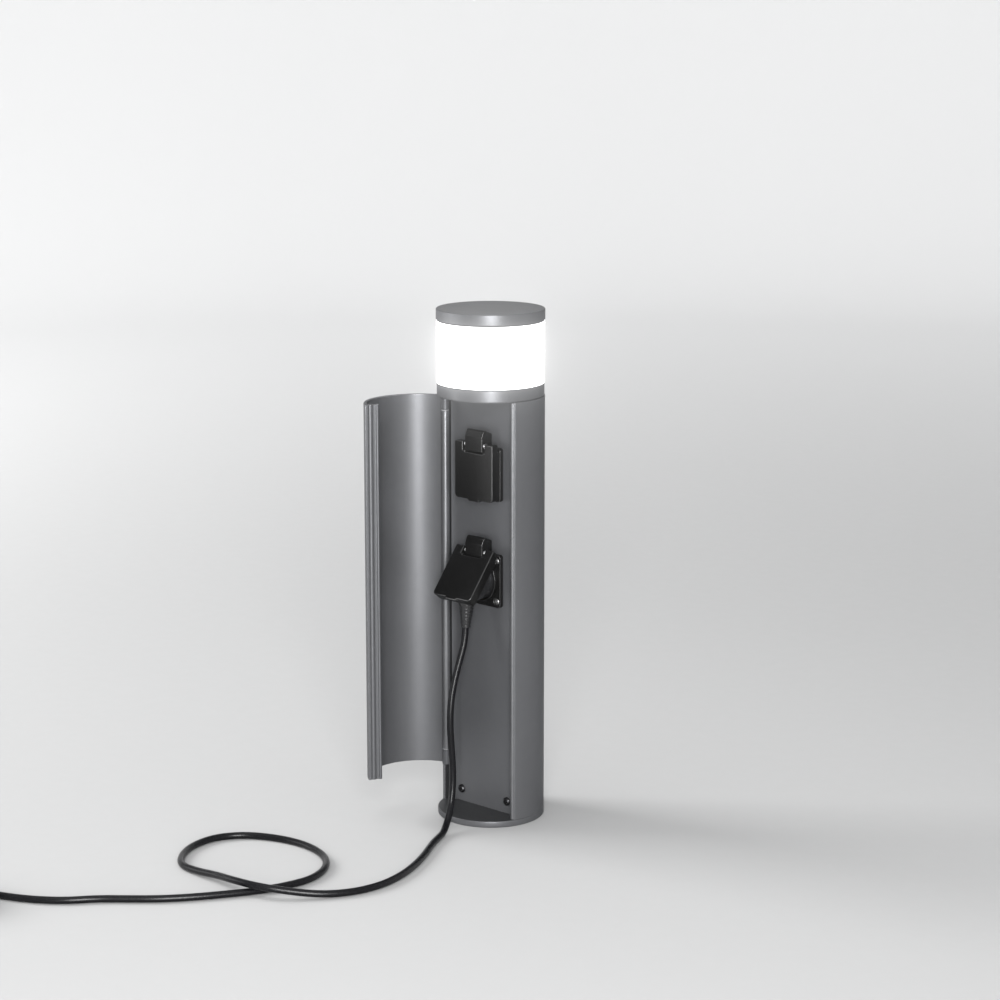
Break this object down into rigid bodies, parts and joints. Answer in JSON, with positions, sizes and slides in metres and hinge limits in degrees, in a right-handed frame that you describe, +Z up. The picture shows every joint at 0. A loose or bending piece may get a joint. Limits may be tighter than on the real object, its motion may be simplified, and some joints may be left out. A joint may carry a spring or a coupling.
{
  "type": "bollard light with socket",
  "caption": "Cylindrical garden bollard light with two hinged-lid sockets behind a curved door and a lead plugged in.",
  "frame": {"origin": "centre of the foot's underside, on the ground", "axes": "+Z up the column; -Y out of the socket bay, towards someone using the sockets; +X to that person's right"},
  "size_m": [0.3326, 0.6754, 0.48],
  "materials": {
    "coated_metal": "satin",
    "panel_metal": "satin",
    "steel": "satin",
    "post_metal": "satin",
    "brass": "satin",
    "opal": "satin",
    "seal_rubber": "matte",
    "black_plastic": "satin",
    "grey_plastic": "matte",
    "board_white": "satin",
    "chip_yellow": "gloss",
    "wire_sheath": "satin",
    "plug_rubber": "matte",
    "cord_rubber": "satin"
  },
  "bodies": {
    "column": {"base_plate": "coated_metal", "base_screws": "steel", "cable_clamp": "black_plastic", "cable_grommet": "seal_rubber", "cap": "coated_metal", "collar_screws": "steel", "column_shell": "coated_metal", "connector": "plug_rubber", "diffuser": "opal", "earth_stud": "steel", "hinge_knuckle_lower": "panel_metal", "hinge_knuckle_upper": "panel_metal", "hinge_pins": "steel", "hinge_screws": "steel", "lead_coil": "cord_rubber", "lead_cord": "cord_rubber", "led_boards": "board_white", "led_chips": "chip_yellow", "led_driver": "grey_plastic", "led_post": "post_metal", "lower_contact_block": "grey_plastic", "lower_contacts": "brass", "lower_earth_clips": "brass", "lower_face": "black_plastic", "lower_frame": "black_plastic", "lower_frame_screws": "steel", "lower_gasket": "seal_rubber", "lower_lid_pin": "steel", "lower_lid_springs": "steel", "lower_seal": "seal_rubber", "mounting_panel": "panel_metal", "panel_screws": "steel", "plug_body": "plug_rubber", "plug_pins": "brass", "strain_relief": "plug_rubber", "terminal_block": "grey_plastic", "tie_rods": "steel", "top_collar": "coated_metal", "upper_contact_block": "grey_plastic", "upper_contacts": "brass", "upper_earth_clips": "brass", "upper_face": "black_plastic", "upper_frame": "black_plastic", "upper_frame_screws": "steel", "upper_gasket": "seal_rubber", "upper_lid_pin": "steel", "upper_lid_springs": "steel", "upper_seal": "seal_rubber", "wires": "wire_sheath"},
    "door": {"door": "coated_metal", "hinge_bushes": "grey_plastic"},
    "upper_lid": {"upper_lid": "black_plastic", "upper_lid_seal": "seal_rubber"},
    "lower_lid": {"lower_lid": "black_plastic", "lower_lid_seal": "seal_rubber"},
    "upper_shutter": {"upper_shutter": "grey_plastic"},
    "lower_shutter": {"lower_shutter": "grey_plastic"}
  },
  "joints": [
    {"name": "door_hinge", "type": "hinge", "parent": "column", "child": "door", "pos_m": [-0.04349, -0.01498, 0.2], "axis": [0, 0, -1], "range_deg": [-62, 12]},
    {"name": "upper_lid_hinge", "type": "hinge", "parent": "column", "child": "upper_lid", "pos_m": [0, -0.0195, 0.3555], "axis": [-1, 0, 0], "range_deg": [0, 100], "stiffness_Nm_per_rad": 0.01, "springref_deg": -34.38},
    {"name": "lower_lid_hinge", "type": "hinge", "parent": "column", "child": "lower_lid", "pos_m": [0, -0.0195, 0.2555], "axis": [-1, 0, 0], "range_deg": [0, 61], "stiffness_Nm_per_rad": 0.01, "springref_deg": -72.77},
    {"name": "upper_shutter_pivot", "type": "hinge", "parent": "column", "child": "upper_shutter", "pos_m": [0, 0.0055, 0.329], "axis": [0, 1, 0], "range_deg": [0, 40], "stiffness_Nm_per_rad": 0.0005, "springref_deg": -17.19},
    {"name": "lower_shutter_pivot", "type": "hinge", "parent": "column", "child": "lower_shutter", "pos_m": [0, 0.0055, 0.229], "axis": [0, 1, 0], "range_deg": [0, 6], "stiffness_Nm_per_rad": 0.0005, "springref_deg": -57.3}
  ]
}
